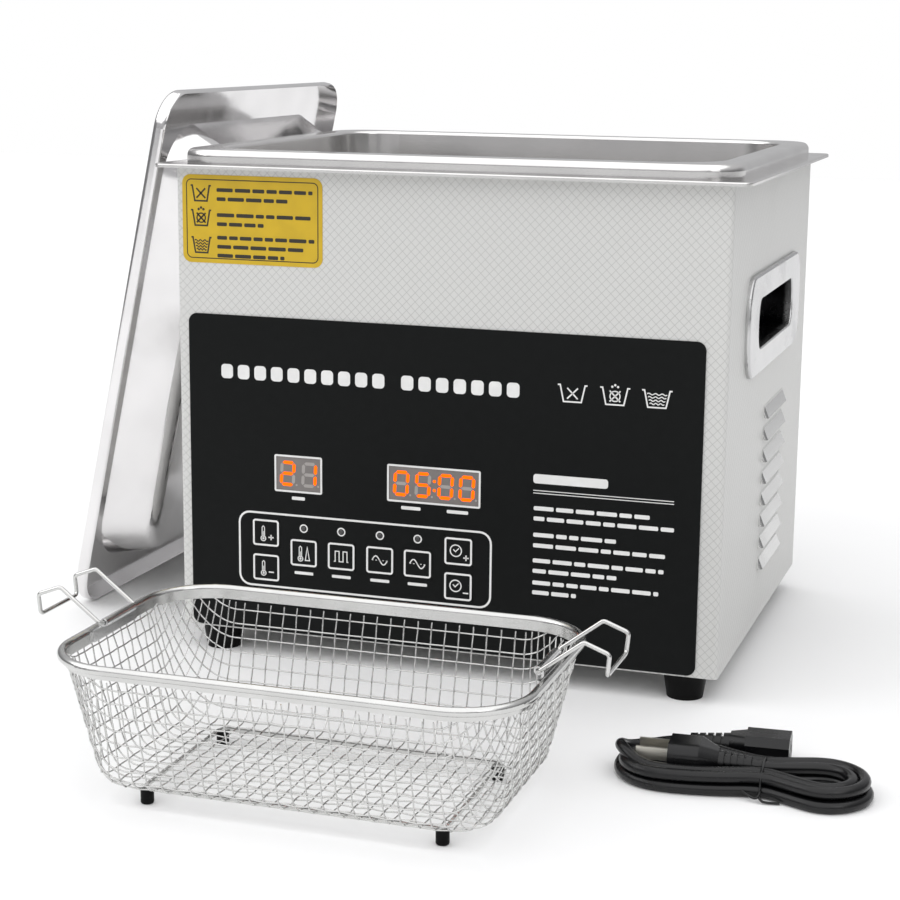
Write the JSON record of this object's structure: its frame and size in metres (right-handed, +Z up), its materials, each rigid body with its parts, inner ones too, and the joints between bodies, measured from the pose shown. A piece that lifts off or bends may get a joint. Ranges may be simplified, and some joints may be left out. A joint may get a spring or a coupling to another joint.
{
  "type": "ultrasonic cleaner",
  "caption": "Bench ultrasonic cleaner with a heated steel tank, keypad panel, lift-off lid, wire basket with folding hook handles, drain valve and a detachable mains lead.",
  "frame": {"origin": "on the table under the middle of the housing, level with the bottoms of its feet", "axes": "+Z up, the control panel faces -Y, +X to the right of someone who faces the panel"},
  "size_m": [0.5184, 0.612, 0.3221],
  "materials": {
    "embossed_steel": "embossed, satin",
    "bright_steel": "polished",
    "plain_steel": "satin",
    "panel_film": "satin",
    "key_film": "satin",
    "display_window": "semi-gloss",
    "indicator_lens": "gloss",
    "circuit_board": "satin",
    "brass": "bright",
    "nickel_brass": "satin",
    "black_plastic": "satin",
    "capacitor_sleeve": "gloss",
    "horn_aluminium": "turned",
    "piezo_ceramic": "matte",
    "copper": "bright",
    "dark_steel": "satin",
    "heater_rubber": "matte",
    "black_rubber": "matte",
    "rocker_red": "semi-gloss",
    "wire_steel": "polished",
    "cord_jacket": "satin"
  },
  "bodies": {
    "housing": {"base_plate": "plain_steel", "board_standoffs": "brass", "capacitors": "capacitor_sleeve", "control_board": "circuit_board", "control_panel": "panel_film", "display_temperature": "display_window", "display_time": "display_window", "drain_fitting": "nickel_brass", "drain_nozzle": "nickel_brass", "drain_valve": "nickel_brass", "fan_frame": "black_plastic", "fan_guard": "plain_steel", "foot_screws": "plain_steel", "fuse_holder": "black_plastic", "generator_board": "circuit_board", "handle_cup_left": "bright_steel", "handle_cup_right": "bright_steel", "heat_sink": "horn_aluminium", "housing_shell": "embossed_steel", "indicator_lights": "indicator_lens", "inlet_pins": "brass", "key_switches": "black_plastic", "power_inlet": "black_plastic", "rocker_bezel": "black_plastic", "rubber_feet": "black_rubber", "tank": "bright_steel", "tank_heater": "heater_rubber", "temperature_sensor": "horn_aluminium", "transducer_back_masses": "dark_steel", "transducer_bolts": "dark_steel", "transducer_electrodes": "copper", "transducer_horns": "horn_aluminium", "transducer_piezos": "piezo_ceramic", "transformer": "dark_steel"},
    "lid": {"lid_pan": "bright_steel", "lid_handle": "bright_steel"},
    "basket": {"basket_tray": "wire_steel", "basket_rim": "wire_steel", "basket_support": "wire_steel", "basket_caps": "black_rubber", "basket_end_plates": "wire_steel"},
    "basket_handle_left": {"basket_handle_left": "wire_steel"},
    "basket_handle_right": {"basket_handle_right": "wire_steel"},
    "power_lead": {"lead_hank": "cord_jacket", "lead_plug": "cord_jacket", "lead_pins": "brass", "lead_connector": "cord_jacket", "lead_tie": "cord_jacket"},
    "power_rocker": {"power_rocker": "rocker_red"},
    "drain_lever": {"drain_ball": "nickel_brass", "drain_lever": "rocker_red"},
    "fan_rotor": {"fan_rotor": "black_plastic"},
    "key_temperature_up": {"key_temperature_up": "key_film"},
    "key_temperature_down": {"key_temperature_down": "key_film"},
    "key_heating": {"key_heating": "key_film"},
    "key_degas": {"key_degas": "key_film"},
    "key_sweep": {"key_sweep": "key_film"},
    "key_turbo": {"key_turbo": "key_film"},
    "key_time_up": {"key_time_up": "key_film"},
    "key_time_down": {"key_time_down": "key_film"}
  },
  "joints": [
    {"name": "lid_lift", "type": "slide", "parent": "housing", "child": "lid", "axis": [0, 0, 1], "range_m": [0, 0.33]},
    {"name": "basket_lift", "type": "slide", "parent": "housing", "child": "basket", "axis": [0, 0, 1], "range_m": [0, 0.3]},
    {"name": "basket_handle_left_swing", "type": "hinge", "parent": "basket", "child": "basket_handle_left", "pos_m": [-0.1029, -0.319, 0.077], "axis": [0, 1, 0], "range_deg": [0, 115]},
    {"name": "basket_handle_right_swing", "type": "hinge", "parent": "basket", "child": "basket_handle_right", "pos_m": [0.1149, -0.319, 0.077], "axis": [0, -1, 0], "range_deg": [0, 115]},
    {"name": "lead_lift", "type": "slide", "parent": "housing", "child": "power_lead", "axis": [0, 0, 1], "range_m": [0, 0.15]},
    {"name": "power_rocker_tilt", "type": "hinge", "parent": "housing", "child": "power_rocker", "pos_m": [-0.11, 0.1315, 0.1], "axis": [1, 0, 0], "range_deg": [-16, 0]},
    {"name": "drain_lever_turn", "type": "hinge", "parent": "housing", "child": "drain_lever", "pos_m": [0, 0.169, 0.118], "axis": [0, 0, -1], "range_deg": [0, 90]},
    {"name": "fan_spin", "type": "hinge", "parent": "housing", "child": "fan_rotor", "pos_m": [0.09, 0.118, 0.07], "axis": [0, 1, 0], "continuous": true},
    {"name": "key_temperature_up_press", "type": "slide", "parent": "housing", "child": "key_temperature_up", "axis": [0, 1, 0], "range_m": [0, 0.0005], "stiffness_N_per_m": 1500},
    {"name": "key_temperature_down_press", "type": "slide", "parent": "housing", "child": "key_temperature_down", "axis": [0, 1, 0], "range_m": [0, 0.0005], "stiffness_N_per_m": 1500},
    {"name": "key_heating_press", "type": "slide", "parent": "housing", "child": "key_heating", "axis": [0, 1, 0], "range_m": [0, 0.0005], "stiffness_N_per_m": 1500},
    {"name": "key_degas_press", "type": "slide", "parent": "housing", "child": "key_degas", "axis": [0, 1, 0], "range_m": [0, 0.0005], "stiffness_N_per_m": 1500},
    {"name": "key_sweep_press", "type": "slide", "parent": "housing", "child": "key_sweep", "axis": [0, 1, 0], "range_m": [0, 0.0005], "stiffness_N_per_m": 1500},
    {"name": "key_turbo_press", "type": "slide", "parent": "housing", "child": "key_turbo", "axis": [0, 1, 0], "range_m": [0, 0.0005], "stiffness_N_per_m": 1500},
    {"name": "key_time_up_press", "type": "slide", "parent": "housing", "child": "key_time_up", "axis": [0, 1, 0], "range_m": [0, 0.0005], "stiffness_N_per_m": 1500},
    {"name": "key_time_down_press", "type": "slide", "parent": "housing", "child": "key_time_down", "axis": [0, 1, 0], "range_m": [0, 0.0005], "stiffness_N_per_m": 1500}
  ]
}
